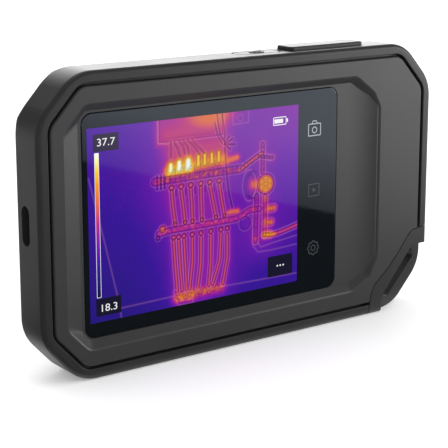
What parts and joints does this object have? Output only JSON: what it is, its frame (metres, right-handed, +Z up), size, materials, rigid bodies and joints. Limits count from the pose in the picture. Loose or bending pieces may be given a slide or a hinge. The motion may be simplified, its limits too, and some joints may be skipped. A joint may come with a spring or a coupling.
{
  "type": "thermal imaging camera",
  "caption": "Pocket thermal imaging camera with a flat touch screen in a bevelled rubber-edged casing, sprung top buttons, side port, strap corner and lens plate on the back.",
  "frame": {"origin": "middle of the casing's underside, at the centre of its width and depth", "axes": "+X to the right of someone looking at the screen, +Y away from them and out of the lens side, +Z up"},
  "size_m": [0.138, 0.024, 0.0852],
  "materials": {
    "bumper_rubber": "soft matt",
    "cover_plastic": "fine texture",
    "rear_plastic": "fine texture",
    "guard_plastic": "fine texture",
    "button_rubber": "soft matt",
    "black_gloss": "polished",
    "cover_glass": "polished",
    "clear_glass": "polished",
    "seal_rubber": "matt",
    "lcd_layers": "polished",
    "diffuser": "satin",
    "sheet_steel": "brushed",
    "screw_steel": "blackened",
    "magnesium": "cast",
    "board": "solder mask",
    "chip": "moulded",
    "socket_plastic": "moulded",
    "flex_film": "film",
    "battery_foil": "foil",
    "brass": "turned",
    "germanium": "coated",
    "barrel_metal": "anodised",
    "copper": "enamelled wire"
  },
  "bodies": {
    "casing": {"bumper_band": "bumper_rubber", "front_cover": "cover_plastic", "rear_cover": "rear_plastic", "case_seal": "seal_rubber", "corner_guard": "guard_plastic", "tripod_insert": "brass", "display_glass": "cover_glass", "display_seal": "seal_rubber", "lcd_panel": "lcd_layers", "light_guide": "diffuser", "lcd_tray": "sheet_steel", "display_flex": "flex_film", "mid_plate": "magnesium", "main_board": "board", "board_chips": "chip", "shield_can": "sheet_steel", "board_sockets": "socket_plastic", "battery": "battery_foil", "battery_lead": "seal_rubber", "inner_screws": "screw_steel", "case_screws": "screw_steel", "wifi_antenna": "board", "button_board": "board", "button_flex": "flex_film", "save_switch": "sheet_steel", "power_switch": "sheet_steel", "usb_shell": "sheet_steel", "usb_tongue": "chip", "port_seal": "seal_rubber", "optics_plate": "black_gloss", "ir_barrel": "barrel_metal", "ir_lens": "germanium", "ir_housing": "magnesium", "ir_sensor": "chip", "shutter_coil": "copper", "camera_module": "chip", "camera_lens": "clear_glass", "camera_window": "clear_glass", "lamp_board": "board", "lamp_lens": "clear_glass", "optics_flex": "flex_film"},
    "save_button": {"save_button": "button_rubber"},
    "power_button": {"power_button": "button_rubber"},
    "shutter": {"shutter_flag": "sheet_steel"}
  },
  "joints": [
    {"name": "save_button_press", "type": "slide", "parent": "casing", "child": "save_button", "axis": [0, 0, 1], "range_m": [-0.0005, 0], "stiffness_N_per_m": 1200, "springref_m": 0.001},
    {"name": "power_button_press", "type": "slide", "parent": "casing", "child": "power_button", "axis": [0, 0, 1], "range_m": [-0.0004, 0], "stiffness_N_per_m": 1200, "springref_m": 0.001},
    {"name": "shutter_slide", "type": "slide", "parent": "casing", "child": "shutter", "axis": [1, 0, 0], "range_m": [0, 0.0094], "stiffness_N_per_m": 5, "springref_m": -0.004}
  ]
}
